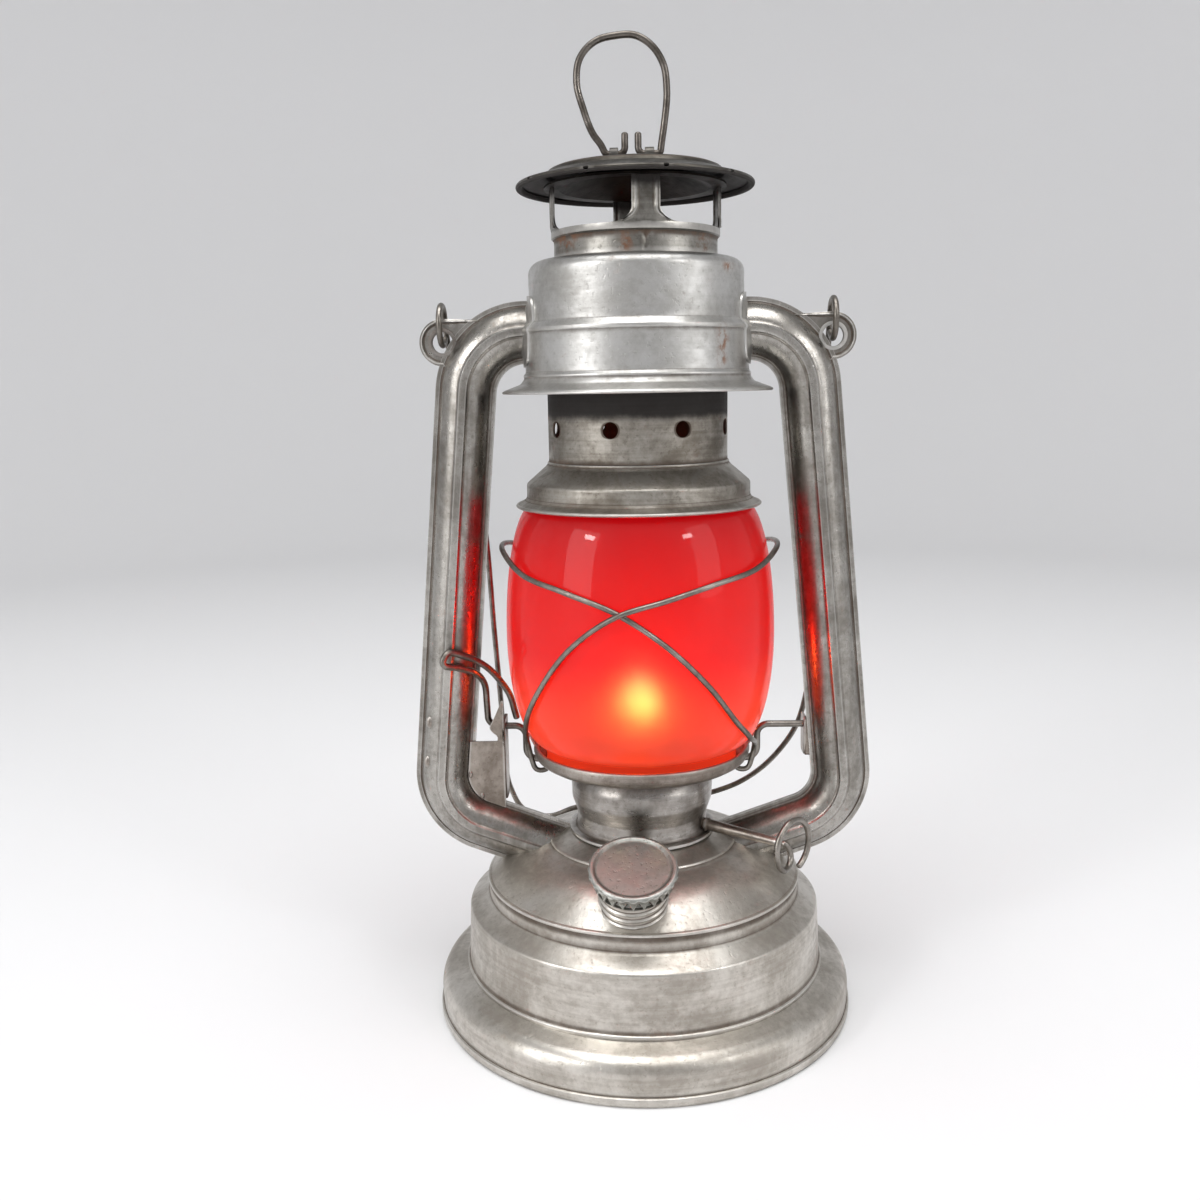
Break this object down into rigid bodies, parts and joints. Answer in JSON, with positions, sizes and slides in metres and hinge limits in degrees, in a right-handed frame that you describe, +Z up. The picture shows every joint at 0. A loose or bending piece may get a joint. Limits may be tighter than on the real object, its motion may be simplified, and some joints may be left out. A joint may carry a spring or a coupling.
{
  "type": "hurricane lantern",
  "caption": "Small tubular kerosene lantern in bare worn steel with a red glass globe in a wire guard, a sprung chimney with a vented hat, a wire bail and a lifting lever.",
  "frame": {"origin": "centre of the base's underside, on the surface the lantern stands on", "axes": "+Z up, +X to the lantern's right across the two air tubes, -Y towards the filler cap"},
  "size_m": [0.149, 0.1368, 0.3061],
  "materials": {
    "tinned_steel": "bare tinned sheet, worn and stained",
    "sooty_steel": "bare tinned sheet, darkened by smoke",
    "burner_steel": "heat stained sheet",
    "wire": "bare drawn steel wire, dulled",
    "red_glass": "clear red pressed glass",
    "wick_cotton": "woven cotton, charred at the top",
    "gasket": "flat ring"
  },
  "bodies": {
    "lantern_frame": {"tank_shell": "tinned_steel", "tank_bottom": "tinned_steel", "air_deck": "tinned_steel", "filler_neck": "tinned_steel", "burner_collar": "tinned_steel", "burner_body": "burner_steel", "wick_tube": "burner_steel", "burner_cone": "burner_steel", "chimney_spring": "wire", "air_chamber": "tinned_steel", "chamber_hood": "tinned_steel", "tube_right_front": "tinned_steel", "tube_right_rear": "tinned_steel", "tube_left_front": "tinned_steel", "tube_left_rear": "tinned_steel", "mouth_collar_right": "tinned_steel", "mouth_collar_left": "tinned_steel", "ear_eyelets": "tinned_steel", "lever_bracket": "tinned_steel", "hinge_bracket": "tinned_steel", "bracket_rivets": "tinned_steel"},
    "bail_wire": {"bail": "wire"},
    "lever": {"lift_lever": "wire"},
    "link": {"lift_link": "wire"},
    "globe_carriage": {"globe_plate": "tinned_steel", "globe": "red_glass", "guard_wire_left": "wire", "guard_wire_right": "wire"},
    "chimney": {"chimney_tube": "tinned_steel", "crown": "sooty_steel", "hat": "sooty_steel", "hat_baffle": "sooty_steel", "ring_strap": "tinned_steel", "strap_rivet": "tinned_steel"},
    "ring": {"top_ring": "wire"},
    "cap_carrier": {"filler_gasket": "gasket"},
    "cap": {"filler_cap": "tinned_steel"},
    "wick_drive": {"wick_shaft": "wire", "wick_wheels": "burner_steel", "wick_knob": "wire"},
    "wick_strip": {"wick": "wick_cotton"}
  },
  "joints": [
    {"name": "bail_swing", "type": "hinge", "parent": "lantern_frame", "child": "bail_wire", "pos_m": [0, 0, 0.22226], "axis": [1, 0, 0], "range_deg": [0, 250]},
    {"name": "carriage_lift", "type": "slide", "parent": "lantern_frame", "child": "globe_carriage", "axis": [0, 0, 1], "range_m": [0, 0.00845]},
    {"name": "lever_press", "type": "hinge", "parent": "lantern_frame", "child": "lever", "pos_m": [0, 0.004, 0.0924], "axis": [1, 0, 0], "range_deg": [0, 75.1]},
    {"name": "link_turn", "type": "hinge", "parent": "lantern_frame", "child": "link", "pos_m": [0, 0.004, 0.0924], "axis": [1, 0, 0], "range_deg": [0, 75.1]},
    {"name": "chimney_lift", "type": "slide", "parent": "globe_carriage", "child": "chimney", "axis": [0, 0, 1], "range_m": [0, 0.014], "stiffness_N_per_m": 150, "springref_m": -0.01, "deforming": ["chimney_spring"]},
    {"name": "ring_fold", "type": "hinge", "parent": "chimney", "child": "ring", "pos_m": [0, 0, 0.27141], "axis": [1, 0, 0], "range_deg": [-88, 88]},
    {"name": "cap_rise", "type": "slide", "parent": "lantern_frame", "child": "cap_carrier", "axis": [0, -0.3746, 0.9272], "range_m": [0, 0.00257]},
    {"name": "cap_turn", "type": "hinge", "parent": "cap_carrier", "child": "cap", "pos_m": [-0.0028, -0.0412, 0.05215], "axis": [0, -0.3746, 0.9272], "range_deg": [0, 359]},
    {"name": "knob_turn", "type": "hinge", "parent": "lantern_frame", "child": "wick_drive", "pos_m": [0.00327, 0.00442, 0.0625], "axis": [0.8039, -0.5948, 0], "range_deg": [-80, 80]},
    {"name": "wick_rise", "type": "slide", "parent": "lantern_frame", "child": "wick_strip", "axis": [0, 0, 1], "range_m": [-0.0063, 0.0063]}
  ],
  "couplings": [
    {"joint": "lever_press", "follows": "carriage_lift", "rad_per_m": 154.91},
    {"joint": "link_turn", "follows": "carriage_lift", "rad_per_m": 154.91},
    {"joint": "cap_rise", "follows": "cap_turn", "m_per_rad": 0.00040903},
    {"joint": "wick_rise", "follows": "knob_turn", "m_per_rad": -0.0044}
  ]
}
